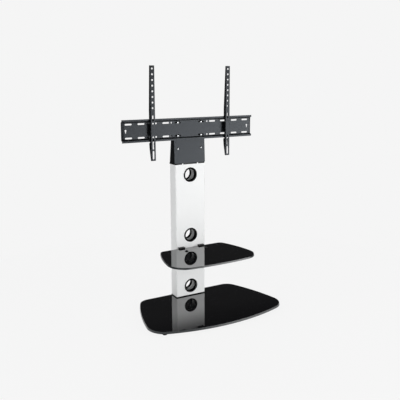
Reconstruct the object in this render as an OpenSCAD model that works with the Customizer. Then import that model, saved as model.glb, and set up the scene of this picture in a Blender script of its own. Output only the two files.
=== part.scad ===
/* [Base shelf] */
// Widest point of the base glass
base_w = 699; // [640:1:760]
// Straight back edge to the front of the bow
base_depth = 435; // [410:1:460]
// Thickness of the base glass
base_glass_t = 10; // [8:0.5:12]
// Straight length of the back edge
base_back_flat = 430; // [400:2:450]
// Radius of the two back corners
base_back_r = 62; // [50:1:70]
// Radius of the slightly bulging flanks
base_side_r = 1000; // [900:10:1400]
// Radius of the two front corners
base_front_r = 87; // [80:1:94]
// From the centres of the front corners to the front of the bow
base_bow = 129; // [124:1:134]

/* [Feet] */
// Foot height, floor to glass
foot_h = 11; // [10:0.5:16]
// Foot diameter at the glass
foot_d = 26; // [20:1:32]
// Foot diameter at the floor
foot_tip_d = 21; // [16:1:20]
// Front feet, distance in from the widest point of the glass
foot_front_in = 56; // [52:1:64]
// Front feet, distance back from the front of the bow
foot_front_set = 73; // [68:1:84]
// Back feet, distance out from the end of the straight back edge
foot_back_out = 20; // [8:1:24]
// Back feet, distance from the back edge
foot_back_y = 50; // [44:1:60]

/* [Column] */
// Column width
col_w = 160; // [152:1:168]
// Column depth
col_d = 60; // [56:1:64]
// Length of the column tube
col_h = 668.5; // [640:0.5:700]
// Wall of the column tube
col_t = 2; // [1.5:0.25:3]
// Outer corner radius of the column tube
col_r = 4; // [3:0.5:5]
// Rubber sheet between column and base glass
col_pad_t = 3; // [2:0.5:4]
// Thickness of the plates welded into both ends of the column
end_plate_t = 6; // [5:0.5:8]
// Cable hole cut in the tube wall
cable_hole_d = 61; // [56:1:63]
// Lowest cable hole, above the column's lower end
cable_low_z = 50; // [46:1:56]
// Middle cable hole, above the column's lower end
cable_mid_z = 314.5; // [310:0.5:330]
// Highest cable hole, below the column's upper end
cable_top_drop = 52; // [46:1:58]

/* [Cable rings] */
// Outer diameter of the ring's flange
ring_d = 71; // [68:0.5:74]
// Clear opening through the ring
ring_bore = 57; // [50:0.5:58]
// Height of the flange over the column's face
ring_flange_t = 2.4; // [1.8:0.2:3]
// How far the ring's sleeve reaches into the column
ring_sleeve = 9; // [6:1:11]

/* [Column cap] */
// Thickness of the black plate between column and neck
cap_t = 5; // [4:0.5:7]
// How far the plate reaches past the back of the column
cap_rear = 5; // [2:0.5:7]
// How far the plate reaches past each side of the column
cap_side = 1; // [0.5:0.25:2]
// Width of the two locating tabs on the column's front wall
tab_w = 6; // [4:0.5:8]
// Distance between the two tabs
tab_span = 81; // [70:1:90]

/* [Neck] */
// Width of the neck bracket
neck_w = 165; // [164:0.5:170]
// Sheet thickness of the neck bracket
neck_t = 2.5; // [2:0.25:3]
// Gap between the neck bracket and the column cap
neck_lift = 0.5; // [0.5:0.25:2]
// How far the neck's lower edge is set back from the column's front
neck_setback = 1; // [0:0.25:1.5]
// How far the neck leans back below the mount plate
neck_lean = 5.5; // [4:0.25:7]
// Depth of the neck's sides at its lower edge
neck_side_low = 54; // [50:1:56]
// Depth of the neck's sides at its upper edge
neck_side_top = 20; // [18:1:26]
// Sheet thickness of the mast inside the neck
mast_t = 3; // [2.5:0.25:4]
// Gap between the mast and each side of the neck
mast_gap = 2; // [1.5:0.25:3]

/* [Mount plate] */
// Length of the mount plate
plate_w = 696; // [680:2:720]
// Height of the mount plate over both rails
plate_h = 104; // [100:1:110]
// Sheet thickness of the mount plate
plate_t = 2; // [1.5:0.25:2.5]
// Height of the middle of the mount plate above the column cap
plate_mid_rise = 166; // [164:0.5:172]
// How far each rail's lip stands forward of the face
rail_depth = 9.5; // [8:0.5:12]
// Height of the slope between the face and a lip
rail_rise = 4.5; // [3.5:0.5:6]
// Height of each rail's upright lip
rail_lip = 8.5; // [7:0.5:10]
// Spacing of the holes and slots, across and up
hole_pitch = 62.5; // [61:0.5:64]
// Number of slots on each side, in each row
slot_count = 4; // [3:1:4]
// Length of a slot
slot_len = 34; // [28:1:38]
// Height of a slot
slot_w = 7.5; // [6.5:0.5:9]
// Distance of the upright end slots from the middle
end_slot_x = 326; // [320:1:330]

/* [Arms] */
// Distance between the two arms, as the photograph shows them
arm_span = 400; // [350:5:500]
// Width of an arm
arm_w = 24; // [21:0.5:26]
// Sheet thickness of an arm
arm_t = 1.8; // [1.5:0.1:2]
// Outer radius of an arm's two bends
arm_r = 2.4; // [2:0.1:3]
// Length of an arm above the middle of the mount plate
arm_up = 290.5; // [285:0.5:310]
// Length of an arm below the middle of the mount plate
arm_down = 139.5; // [136:0.5:145]
// Distance from the rails' lips to the front of an arm
arm_reach = 12.2; // [11:0.1:13]
// Depth of an arm above the mount plate
arm_depth = 17.3; // [16.8:0.1:17.7]
// Depth of an arm just below the mount plate
arm_foot_depth = 20.9; // [19:0.1:21.2]
// Depth of an arm at both tips
arm_tip_depth = 4.4; // [4:0.2:8]
// Clearance between an arm and the rails
arm_clear = 0.6; // [0.5:0.1:0.8]
// Diameter of the round holes in the arms
arm_hole_d = 8.5; // [6:0.5:9]
// Spacing of the round holes in the arms
arm_hole_pitch = 25; // [24:0.5:26]
// Number of round holes in the upper half of an arm
arm_hole_count = 8; // [6:1:8]
// Distance of the highest hole from the arm's tip
arm_hole_top = 14; // [10:0.5:16]
// Width of the short slot above the mount plate
oblong_w = 7.5; // [6:0.5:8]
// Width of the upper long slot
slot_a_w = 6.5; // [6:0.5:8]
// Width of the lower long slot
slot_b_w = 8; // [6:0.5:8.5]

/* [Upper shelf] */
// Widest point of the shelf glass
shelf_w = 448; // [430:2:480]
// Straight back edge to the front of the bow
shelf_depth = 290.5; // [280:0.5:300]
// Thickness of the shelf glass
shelf_glass_t = 8; // [6:0.5:10]
// Straight length of the back edge
shelf_back_flat = 300; // [280:2:310]
// Radius of the two back corners
shelf_back_r = 31; // [26:1:40]
// Radius of the slightly bulging flanks
shelf_side_r = 565; // [480:5:800]
// Radius of the two front corners
shelf_front_r = 82.5; // [76:0.5:86]
// From the centres of the front corners to the front of the bow
shelf_bow = 90.5; // [86:0.5:96]
// Height of the shelf's upper face above the column's lower end
shelf_z = 253.5; // [240:0.5:260]

/* [Shelf brackets] */
// Distance between the two shelf brackets
bracket_span = 108; // [100:2:120]
// Width of a shelf bracket
bracket_w = 30; // [28:1:40]
// Sheet thickness of a shelf bracket
bracket_t = 3; // [2.5:0.25:4]
// Reach of the lower arm under the glass, from the column
bracket_reach = 92; // [84:1:110]
// Height of the back plate below the lower arm
bracket_drop = 66; // [60:1:76]
// Length of the upper jaw over the glass
jaw_len = 12; // [10:1:20]
// Rubber between the lower arm and the glass
arm_pad_t = 1.5; // [1:0.25:2.5]
// Rubber between the upper jaw and the glass
jaw_pad_t = 3.5; // [1.5:0.25:4]
// Distance of the shelf bolts from the column's front
shelf_bolt_y = 59; // [54:1:66]

/* [Fasteners] */
// Shank diameter of the large bolts
bolt_d = 8; // [7:0.5:8]
// Head diameter of the large bolts
bolt_head_d = 14; // [13:0.5:15]
// Head height of the large bolts
bolt_head_h = 4.5; // [3.5:0.25:5]
// Width of the large nuts across flats
nut_w = 13; // [12:0.5:14]
// Height of the large nuts
nut_h = 6.5; // [5:0.5:7]
// Shank diameter of the small screws
screw_d = 6; // [5:0.5:6]
// Head diameter of the small screws
screw_head_d = 10.5; // [10:0.5:12]
// Head height of the small screws
screw_head_h = 3.3; // [2.5:0.1:4]
// Width of the small nuts across flats
screw_nut_w = 10; // [9:0.5:11]
// Height of the small nuts
screw_nut_h = 5; // [4:0.5:5.5]

/* [Hidden] */
$fn = 64;

// Steps of the arcs in a glass outline
corner_steps = 30;
flank_steps = 8;
bow_steps = 16;

// One overrun serves all cuts, and one small play serves all bolt holes
over = 1;
play = 0.1;
hole_play = 0.5;

// Heights from the floor up
base_top = foot_h + base_glass_t;
col_z = base_top + col_pad_t;
col_top = col_z + col_h;
cap_top = col_top + cap_t;
neck_z = cap_top + neck_lift;
mid_z = cap_top + plate_mid_rise;
shelf_top = col_z + shelf_z;
shelf_low = shelf_top - shelf_glass_t;
cable_zs = [col_z + cable_low_z, col_z + cable_mid_z, col_top - cable_top_drop];

// The origin is under the middle of the whole, and the cap reaches furthest back
back_y = (base_depth - cap_rear) / 2;

// Clamping under the base glass
clamp_plate_w = 220;
clamp_plate_d = 110;
clamp_plate_t = 3;
clamp_pad_t = 1.5;
clamp_inset = 5;
clamp_r = 8;
base_bolt_span = 100;
base_bolt_row = 24;
base_bolt_end = 3;

// Column details
ring_lip_r = 1;
cap_r = col_r + cap_side;

// Neck side, measured forward from the column's back and up from the floor
neck_low_y = col_d - neck_setback;
neck_face_y = neck_low_y - neck_lean;
neck_bend_z = mid_z - plate_h / 2;
neck_top_margin = 9.8;
neck_top_z = mid_z + hole_pitch / 2 + neck_top_margin;
mast_top_z = neck_top_z - 2 * over;
neck_angle = atan(neck_lean / (neck_bend_z - neck_z));
neck_corner_r = 4;
neck_bolt_z = mid_z - 3 * hole_pitch / 2;
neck_bolt_y = neck_low_y - (neck_bolt_z - neck_z) * tan(neck_angle);
mast_foot_t = 4;
mast_foot_back = 8;
mast_side_back = 12;
mast_side_top = 16;
mast_bolt_span = 100;
mast_bolt_row = 24;
mast_bolt_end = 2;

// Mount plate, measured forward from the column's back and up from its own middle
face_y = neck_face_y + plate_t;
rail_front_y = face_y + rail_depth;
rail_back_y = rail_front_y - plate_t;
rail_slope = rail_rise / rail_depth;
rail_skin = plate_t * sqrt(1 + rail_slope * rail_slope);
plate_half = plate_h / 2;
rail_z = plate_half - rail_lip;
face_z = rail_z - rail_rise;
small_hole_x = 96;
small_hole_d = 7.5;
end_slot_head_d = 9;
end_slot_w = 5;
end_slot_head_z = 3;
end_slot_drop = 12;
oval_len = 31;
oval_w = bolt_d + hole_play;
hole_drop = 0.8;
hole_mid_z = mid_z - hole_drop;

// Arms, measured as the mount plate is
arm_front_y = rail_front_y + arm_reach;
arm_web_y = arm_front_y - arm_t;
arm_edge_y = arm_front_y - arm_depth;
arm_foot_y = arm_front_y - arm_foot_depth;
arm_tip_y = arm_front_y - arm_tip_depth;
arm_slot_y = rail_front_y + arm_clear;
arm_hook_y = rail_back_y - arm_clear;
arm_full_z = 91;
arm_taper_z = 87.5;
hook_grip = 6.2;
hook_bottom_z = plate_half - hook_grip;
foot_gap = 5;
foot_corner = 4;
oblong_low_z = 41.5;
oblong_high_z = 68.5;
access_d = 8;
slot_a_high_z = -37.5;
slot_a_low_z = -86.5;
slot_b_high_z = -93.5;
slot_b_low_z = -132.5;

// Upper shelf and its brackets
shelf_gap = 1;
shelf_back_y = col_d + bracket_t + shelf_gap;
bracket_arm_z = shelf_low - arm_pad_t - bracket_t;
jaw_z = shelf_top + jaw_pad_t;
gusset_reach = 70;
gusset_foot = 10;
bracket_screw_high = 20;
bracket_screw_low = 48;
rivnut_d = 9;
rivnut_flange_d = 12;
rivnut_flange_t = 1;
rivnut_len = 12;
screw_len = 10;
shelf_bolt_head_d = 14;
shelf_washer_d = 18;
shelf_washer_t = 1;

// Colours as photographed
glass_black = [0.09, 0.09, 0.1];
coat_black = [0.33, 0.35, 0.36];
coat_white = [0.93, 0.93, 0.92];
plastic_black = [0.06, 0.06, 0.06];
rubber_black = [0.12, 0.12, 0.12];
zinc = [0.75, 0.76, 0.76];

// Moves a piece drawn from the column's back face to its place over the floor's middle
module from_back() {
    translate([0, back_y, 0]) children();
}

// Puts two copies left and right of the middle
module both_sides(half) {
    for (side = [-1, 1]) translate([side * half, 0, 0]) children();
}

// Stands a profile of depth and height upright and draws it out sideways
module sideways(w) {
    rotate([90, 0, 90]) linear_extrude(w, center = true) children();
}

// Stands an outline of width and height upright and draws it out forwards
module forwards(depth) {
    rotate([90, 0, 0]) linear_extrude(depth) children();
}

// Turns a piece drawn upwards so that it points forwards
module facing_front() {
    rotate([90, 0, 0]) children();
}

// Rectangle with round corners, centred
module round_rect(w, d, r) {
    square([w - 2 * r, d], center = true);
    square([w, d - 2 * r], center = true);
    for (x = [-1, 1], y = [-1, 1]) translate([x * (w / 2 - r), y * (d / 2 - r)]) circle(r);
}

// Slot with round ends, centred and lying across
module slot(len, w) {
    square([len - w, w], center = true);
    for (x = [-1, 1]) translate([x * (len - w) / 2, 0]) circle(w / 2);
}

// Upright slot with round ends between two heights
module upright_slot(low, high, w) {
    translate([0, (low + high) / 2]) rotate(90) slot(high - low, w);
}

// Points of an arc about a centre
function arc(centre, r, from, to, steps) = [for (i = [0 : steps])
    centre + r * [cos(from + (to - from) * i / steps), sin(from + (to - from) * i / steps)]];

// Centre of the arc that touches two round corners from outside, on the side of the middle
function flank_centre(back_c, back_r, front_c, front_r, side_r) =
    let (run = norm(front_c - back_c), along = (front_c - back_c) / run,
        to_back = side_r - back_r, to_front = side_r - front_r,
        share = (to_back * to_back - to_front * to_front + run * run) / (2 * run),
        off = sqrt(to_back * to_back - share * share))
    back_c + share * along + off * [along[1], -along[0]];

// Outline of a glass shelf: straight back, round corners, bulging flanks and a bowed front.
// The back edge lies on the X axis and the front points down.
module shelf_outline(w, depth, back_flat, back_r, side_r, front_r, bow) {
    back_c = [back_flat / 2, -back_r];
    corner_c = [w / 2 - front_r, bow - depth];
    side_c = flank_centre(back_c, back_r, corner_c, front_r, side_r);
    back_angle = atan2(back_c[1] - side_c[1], back_c[0] - side_c[0]);
    side_angle = atan2(corner_c[1] - side_c[1], corner_c[0] - side_c[0]);
    bow_r = (corner_c[0] * corner_c[0] + bow * bow - front_r * front_r)
        / (2 * (bow - front_r));
    bow_c = [0, bow_r - depth];
    front_angle = atan2(corner_c[1] - bow_c[1], corner_c[0]);
    half = concat(arc(back_c, back_r, 90, back_angle, corner_steps),
        arc(side_c, side_r, back_angle, side_angle, flank_steps),
        arc(corner_c, front_r, side_angle, front_angle, corner_steps),
        arc(bow_c, bow_r, front_angle, -90, bow_steps));
    last = len(half) - 1;
    polygon(concat(half, [for (i = [1 : last]) [-half[last - i][0], half[last - i][1]]]));
}

// Button head screw drawn pointing up: the head's underside is at zero
module button_screw(head_d, head_h, shank_d, len) {
    socket_w = head_d * 0.46;
    socket_depth = head_h * 0.6;
    difference() {
        union() {
            rotate_extrude() polygon([[0, 0], [head_d / 2, 0], [head_d / 2, head_h * 0.35],
                [head_d * 0.44, head_h * 0.7], [head_d * 0.32, head_h * 0.95],
                [head_d * 0.26, head_h], [0, head_h]]);
            translate([0, 0, -len]) cylinder(h = len, d = shank_d);
        }
        translate([0, 0, head_h - socket_depth])
            cylinder(h = socket_depth + over, d = socket_w, $fn = 6);
    }
}

// Hexagon nut drawn upwards from its seat
module hex_nut(w, h, bore) {
    difference() {
        cylinder(h = h, d = w / cos(30), $fn = 6);
        translate([0, 0, -over]) cylinder(h = h + 2 * over, d = bore + 2 * play);
    }
}

// Places of the four base bolts, seen from above, from the column's back
module at_base_bolts() {
    for (x = [-1, 1], y = [-1, 1])
        translate([x * base_bolt_span / 2, -col_d / 2 + y * base_bolt_row / 2]) children();
}

// Places of the four mast bolts, seen from above, from the column's back
module at_mast_bolts() {
    for (x = [-1, 1], y = [-1, 1])
        translate([x * mast_bolt_span / 2, -col_d / 2 + y * mast_bolt_row / 2]) children();
}

// Places of the four mount bolts in the face of the mount plate
module at_mount_bolts() {
    for (x = [-1, 1], z = [-1, 1]) translate([x * hole_pitch, z * hole_pitch / 2]) children();
}

module base_glass() {
    color(glass_black) from_back() translate([0, 0, foot_h]) linear_extrude(base_glass_t)
        difference() {
            shelf_outline(base_w, base_depth, base_back_flat, base_back_r, base_side_r,
                base_front_r, base_bow);
            at_base_bolts() circle(bolt_d / 2 + hole_play);
        }
}

module base_feet() {
    color(rubber_black) from_back() {
        both_sides(base_w / 2 - foot_front_in)
            translate([0, foot_front_set - base_depth, 0]) foot();
        both_sides(base_back_flat / 2 + foot_back_out) translate([0, -foot_back_y, 0]) foot();
    }
}

// One foot: a collar at the glass and a tapered tip
module foot() {
    collar_h = foot_h * 0.36;
    rotate_extrude() polygon([[0, 0], [foot_tip_d / 2 - over, 0], [foot_tip_d / 2, over],
        [foot_d / 2 - over, foot_h - collar_h], [foot_d / 2, foot_h - collar_h],
        [foot_d / 2, foot_h], [0, foot_h]]);
}

// Outline of the steel plate and its rubber under the base glass
module clamp_outline() {
    difference() {
        translate([0, -clamp_inset - clamp_plate_d / 2])
            round_rect(clamp_plate_w, clamp_plate_d, clamp_r);
        at_base_bolts() circle(bolt_d / 2 + hole_play);
    }
}

module base_clamp_plate() {
    color(coat_black) from_back() translate([0, 0, foot_h - clamp_pad_t - clamp_plate_t])
        linear_extrude(clamp_plate_t) clamp_outline();
}

module base_clamp_gasket() {
    color(rubber_black) from_back() translate([0, 0, foot_h - clamp_pad_t])
        linear_extrude(clamp_pad_t) clamp_outline();
}

module base_bolts() {
    seat_z = foot_h - clamp_pad_t - clamp_plate_t;
    reach = col_z + end_plate_t + base_bolt_end - seat_z;
    color(zinc) from_back() at_base_bolts() translate([0, 0, seat_z]) mirror([0, 0, 1])
        button_screw(bolt_head_d, bolt_head_h, bolt_d, reach);
}

module column_gasket() {
    color(rubber_black) from_back() translate([0, -col_d / 2, base_top])
        linear_extrude(col_pad_t) difference() {
            round_rect(col_w - 2 * play, col_d - 2 * play, col_r);
            translate([0, col_d / 2]) at_base_bolts() circle(bolt_d / 2 + hole_play);
        }
}

// Plate that fills the inside of the column tube at one end
module end_plate() {
    translate([0, -col_d / 2]) round_rect(col_w - 2 * col_t, col_d - 2 * col_t, col_r);
}

module column_foot_plate() {
    color(coat_white) from_back() translate([0, 0, col_z]) linear_extrude(end_plate_t)
        difference() {
            end_plate();
            at_base_bolts() circle(bolt_d / 2 + play);
        }
}

module column_head_plate() {
    color(coat_white) from_back() translate([0, 0, col_top - end_plate_t])
        linear_extrude(end_plate_t) difference() {
            end_plate();
            at_mast_bolts() circle(bolt_d / 2 + play);
        }
}

module column_tube() {
    color(coat_white) from_back() {
        difference() {
            translate([0, -col_d / 2, col_z]) linear_extrude(col_h) difference() {
                round_rect(col_w, col_d, col_r);
                round_rect(col_w - 2 * col_t, col_d - 2 * col_t, col_r - col_t);
            }
            for (z = cable_zs) translate([0, over, z]) facing_front()
                cylinder(h = col_d + 2 * over, d = cable_hole_d);
            both_sides(bracket_span / 2) for (z = bracket_screw_zs())
                translate([0, -col_d + col_t + over, z]) facing_front()
                    cylinder(h = col_t + 2 * over, d = rivnut_d);
        }
        both_sides(tab_span / 2) translate([-tab_w / 2, -col_d, col_top])
            cube([tab_w, col_t, cap_t]);
    }
}

// Black ring pressed into a cable hole: rounded flange outside, sleeve inside
module cable_ring() {
    bore_r = ring_bore / 2;
    sleeve_r = cable_hole_d / 2 - play;
    rotate_extrude() {
        polygon([[bore_r, -ring_sleeve], [sleeve_r, -ring_sleeve], [sleeve_r, 0],
            [ring_d / 2, 0], [ring_d / 2, ring_flange_t - ring_lip_r],
            [ring_d / 2 - ring_lip_r, ring_flange_t], [bore_r + ring_lip_r, ring_flange_t],
            [bore_r, ring_flange_t - ring_lip_r]]);
    }
}

module front_cable_rings() {
    color(plastic_black) from_back() for (z = cable_zs) translate([0, -col_d, z])
        facing_front() cable_ring();
}

module rear_cable_rings() {
    color(plastic_black) from_back() for (z = cable_zs) translate([0, 0, z])
        mirror([0, 1, 0]) facing_front() cable_ring();
}

module column_cap() {
    cap_d = col_d + cap_rear;
    notch_w = tab_w + 2 * play;
    color(plastic_black) from_back() translate([0, 0, col_top]) linear_extrude(cap_t)
        difference() {
            translate([0, cap_rear - cap_d / 2]) round_rect(col_w + 2 * cap_side, cap_d, cap_r);
            both_sides(tab_span / 2) translate([-notch_w / 2, -col_d - over])
                square([notch_w, col_t + play + over]);
            at_mast_bolts() circle(bolt_d / 2 + hole_play);
        }
}

// Front of the neck as a line of depth and height, set back by the sheets before it
function neck_front(back, low, high) = [
    [-neck_low_y + back - (neck_z - low) * tan(neck_angle), low],
    [-neck_face_y + back, neck_bend_z],
    [-neck_face_y + back, high]];

// The mast: a channel behind the neck's front, closed by a foot on the column's cap
module neck_mast() {
    inner_w = neck_w - 2 * neck_t - 2 * mast_gap;
    color(coat_black) from_back() difference() {
        sideways(inner_w) polygon(concat(neck_front(neck_t, cap_top, mast_top_z),
            [[-neck_face_y + mast_side_top, mast_top_z], [-mast_side_back, cap_top]]));
        sideways(inner_w - 2 * mast_t)
            polygon(concat(
                neck_front(neck_t + mast_t, cap_top + mast_foot_t, mast_top_z + over),
                [[over, mast_top_z + over], [over, cap_top + mast_foot_t]]));
        both_sides(hole_pitch) neck_bolt_place() translate([0, 0, -neck_low_y])
            cylinder(h = neck_low_y, d = screw_d + 2 * hole_play);
        translate([0, -neck_face_y + neck_t + mast_t + over, hole_mid_z])
            forwards(mast_t + 2 * over) at_mount_bolts() circle(bolt_d / 2 + hole_play);
        translate([0, 0, cap_top - over]) linear_extrude(mast_foot_t + 2 * over)
            at_mast_bolts() circle(bolt_d / 2 + hole_play);
    }
}

// The place on the leaning front of the neck where a neck bolt's head sits
module neck_bolt_place() {
    translate([0, -neck_bolt_y, neck_bolt_z]) rotate([90 - neck_angle, 0, 0]) children();
}

module mast_bolts() {
    color(zinc) from_back() translate([0, 0, cap_top + mast_foot_t]) at_mast_bolts()
        button_screw(bolt_head_d, bolt_head_h, bolt_d,
            mast_foot_t + cap_t + end_plate_t + mast_bolt_end);
}

module neck_bracket() {
    front = neck_front(0, neck_z, neck_top_z);
    inner = neck_front(neck_t, neck_z - over, neck_top_z + over);
    color(coat_black) from_back() difference() {
        sideways(neck_w) polygon(concat(front, [
            [-neck_face_y + neck_side_top, neck_top_z],
            [-neck_low_y + neck_side_low, neck_z]]));
        sideways(neck_w - 2 * neck_t) polygon(concat(inner,
            [[over, neck_top_z + over], [over, neck_z - over]]));
        both_sides(hole_pitch) neck_bolt_place() translate([0, 0, -2 * neck_t])
            cylinder(h = 4 * neck_t, d = screw_d + 2 * play);
        translate([0, -neck_face_y + neck_t + over, hole_mid_z]) forwards(neck_t + 2 * over)
            at_mount_bolts() slot(oval_len, oval_w);
        neck_corner_cuts();
    }
}

// Rounds the lower corners of the neck's front sheet
module neck_corner_cuts() {
    for (side = [0, 1]) mirror([side, 0, 0])
        translate([neck_w / 2 - neck_corner_r, -neck_low_y + neck_t, neck_z + neck_corner_r])
            forwards(neck_t + over) difference() {
                translate([0, -neck_corner_r - over])
                    square(neck_corner_r + over);
                circle(neck_corner_r);
            }
}

module neck_bolts() {
    color(zinc) from_back() both_sides(hole_pitch) neck_bolt_place()
        button_screw(screw_head_d, screw_head_h, screw_d,
            neck_t + mast_t + screw_nut_h + play);
}

module neck_nuts() {
    color(zinc) from_back() both_sides(hole_pitch) neck_bolt_place()
        translate([0, 0, -neck_t - mast_t - screw_nut_h])
            hex_nut(screw_nut_w, screw_nut_h, screw_d);
}

// Section of the mount plate: flat face, sloped steps and two upright lips
module plate_section() {
    skin_z = face_z + rail_skin - plate_t * rail_slope;
    lip_skin_z = rail_z + rail_skin - plate_t * rail_slope;
    polygon([
        [-face_y + plate_t, -skin_z], [-face_y + plate_t, skin_z],
        [-rail_back_y, lip_skin_z], [-rail_back_y, plate_half], [-rail_front_y, plate_half],
        [-rail_front_y, rail_z], [-face_y, face_z],
        [-face_y, -face_z], [-rail_front_y, -rail_z], [-rail_front_y, -plate_half],
        [-rail_back_y, -plate_half], [-rail_back_y, -lip_skin_z]]);
}

// Holes in the face of the mount plate, seen from the front
module plate_holes() {
    for (side = [-1, 1], row = [-1, 1]) translate([0, row * hole_pitch / 2 - hole_drop]) {
        for (i = [1 : slot_count]) translate([side * (i + 1) * hole_pitch, 0])
            slot(slot_len, slot_w);
        translate([side * small_hole_x, 0]) circle(d = small_hole_d);
        translate([side * hole_pitch, 0]) slot(oval_len, oval_w);
    }
    for (side = [-1, 1]) translate([side * end_slot_x, 0]) {
        translate([0, end_slot_head_z]) circle(d = end_slot_head_d);
        upright_slot(end_slot_head_z - end_slot_drop, end_slot_head_z, end_slot_w);
    }
}

module mount_plate() {
    color(coat_black) from_back() translate([0, 0, mid_z]) difference() {
        sideways(plate_w) plate_section();
        translate([0, -face_y + plate_t + over, 0]) forwards(plate_t + 2 * over) plate_holes();
    }
}

module mount_bolts() {
    color(zinc) from_back() translate([0, -face_y, hole_mid_z]) facing_front()
        at_mount_bolts() button_screw(bolt_head_d, bolt_head_h, bolt_d,
            plate_t + neck_t + mast_t + nut_h + play);
}

module mount_nuts() {
    color(zinc) from_back() translate([0, -neck_face_y + neck_t + mast_t + nut_h, hole_mid_z])
        facing_front() at_mount_bolts() hex_nut(nut_w, nut_h, bolt_d);
}

// Side of an arm: tapered to both tips, hooked over the upper rail's lip
module arm_side() {
    polygon([
        [-arm_front_y, arm_up], [-arm_tip_y, arm_up], [-arm_edge_y, arm_full_z],
        [-arm_edge_y, hook_bottom_z], [-arm_hook_y, hook_bottom_z],
        [-arm_hook_y, plate_half + arm_clear], [-arm_slot_y, plate_half + arm_clear],
        [-arm_slot_y, -plate_half - foot_gap],
        [-arm_foot_y - foot_corner, -plate_half - foot_gap],
        [-arm_foot_y, -plate_half - foot_gap - foot_corner],
        [-arm_edge_y, -arm_taper_z], [-arm_tip_y, -arm_down], [-arm_front_y, -arm_down]]);
}

// Front of an arm with its holes, seen from the front
module arm_web() {
    difference() {
        translate([-arm_w / 2, -arm_down]) square([arm_w, arm_up + arm_down]);
        for (i = [0 : arm_hole_count - 1])
            translate([0, arm_up - arm_hole_top - i * arm_hole_pitch]) circle(d = arm_hole_d);
        upright_slot(oblong_low_z, oblong_high_z, oblong_w);
        for (row = [-1, 1]) translate([0, row * hole_pitch / 2]) circle(d = access_d);
        upright_slot(slot_a_low_z, slot_a_high_z, slot_a_w);
        upright_slot(slot_b_low_z, slot_b_high_z, slot_b_w);
    }
}

module arm(x) {
    color(coat_black) from_back() translate([x, 0, mid_z]) intersection() {
        union() {
            translate([0, -arm_web_y, 0]) forwards(arm_t) arm_web();
            both_sides((arm_w - arm_t) / 2) sideways(arm_t) arm_side();
        }
        translate([0, arm_depth - arm_front_y, -arm_down - over])
            linear_extrude(arm_up + arm_down + 2 * over) round_rect(arm_w, 2 * arm_depth, arm_r);
    }
}

module left_arm() {
    arm(-arm_span / 2);
}

module right_arm() {
    arm(arm_span / 2);
}

module shelf_glass() {
    color(glass_black) from_back() translate([0, 0, shelf_low]) linear_extrude(shelf_glass_t)
        difference() {
            translate([0, -shelf_back_y]) shelf_outline(shelf_w, shelf_depth, shelf_back_flat,
                shelf_back_r, shelf_side_r, shelf_front_r, shelf_bow);
            at_shelf_bolts() circle(screw_d / 2 + hole_play);
        }
}

// Places of the two shelf bolts, seen from above, from the column's back
module at_shelf_bolts() {
    both_sides(bracket_span / 2) translate([0, -col_d - shelf_bolt_y]) children();
}

// Heights of the screws that hold a shelf bracket to the column
function bracket_screw_zs() = [bracket_arm_z - bracket_screw_high,
    bracket_arm_z - bracket_screw_low];

// Shelf bracket: back plate, lower arm and upper jaw in one strip, with two side wings
module shelf_bracket(x) {
    low_z = bracket_arm_z - bracket_drop;
    jaw_front_y = -shelf_back_y - jaw_len;
    arm_end_y = -col_d - bracket_reach;
    back = -col_d;
    color(plastic_black) from_back() translate([x, 0, 0]) difference() {
        union() {
            sideways(bracket_w) polygon([
                [back, low_z], [back, jaw_z + bracket_t], [jaw_front_y, jaw_z + bracket_t],
                [jaw_front_y, jaw_z], [back - bracket_t, jaw_z],
                [back - bracket_t, bracket_arm_z + bracket_t],
                [arm_end_y, bracket_arm_z + bracket_t], [arm_end_y, bracket_arm_z],
                [back - bracket_t, bracket_arm_z], [back - bracket_t, low_z]]);
            both_sides((bracket_w - bracket_t) / 2) sideways(bracket_t) polygon([
                [back - bracket_t, low_z], [back - bracket_t, bracket_arm_z],
                [back - gusset_reach, bracket_arm_z],
                [back - gusset_reach, bracket_arm_z - gusset_foot],
                [back - bracket_t - gusset_foot, low_z]]);
        }
        for (z = bracket_screw_zs()) translate([0, back + over, z]) facing_front()
            cylinder(h = bracket_t + 2 * over, d = screw_d + 2 * play);
        translate([0, back - shelf_bolt_y, bracket_arm_z - over])
            cylinder(h = bracket_t + 2 * over, d = screw_d + 2 * play);
    }
}

module left_shelf_bracket() {
    shelf_bracket(-bracket_span / 2);
}

module right_shelf_bracket() {
    shelf_bracket(bracket_span / 2);
}

// Places of the four screws that hold the shelf brackets
module at_bracket_screws() {
    both_sides(bracket_span / 2) for (z = bracket_screw_zs())
        translate([0, -col_d, z]) facing_front() children();
}

module bracket_screws() {
    color(zinc) from_back() at_bracket_screws() translate([0, 0, bracket_t])
        button_screw(screw_head_d, screw_head_h, screw_d, bracket_t + screw_len);
}

// Rivet nuts: a sleeve in the column's wall with a thin flange inside it
module bracket_nuts() {
    color(zinc) from_back() at_bracket_screws() difference() {
        union() {
            translate([0, 0, -rivnut_len]) cylinder(h = rivnut_len, d = rivnut_d - 2 * play);
            translate([0, 0, -col_t - rivnut_flange_t])
                cylinder(h = rivnut_flange_t, d = rivnut_flange_d);
        }
        translate([0, 0, -rivnut_len - over])
            cylinder(h = rivnut_len + 2 * over, d = screw_d + 2 * play);
    }
}

module shelf_arm_pads() {
    pad_len = bracket_reach - bracket_t - shelf_gap;
    color(rubber_black) from_back() translate([0, 0, bracket_arm_z + bracket_t])
        linear_extrude(arm_pad_t) difference() {
            both_sides(bracket_span / 2)
                translate([-bracket_w / 2, -shelf_back_y - pad_len])
                    square([bracket_w, pad_len]);
            at_shelf_bolts() circle(screw_d / 2 + hole_play);
        }
}

module shelf_jaw_pads() {
    color(rubber_black) from_back() translate([0, 0, shelf_top]) linear_extrude(jaw_pad_t)
        both_sides(bracket_span / 2) translate([-bracket_w / 2, -shelf_back_y - jaw_len])
            square([bracket_w, jaw_len]);
}

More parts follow.
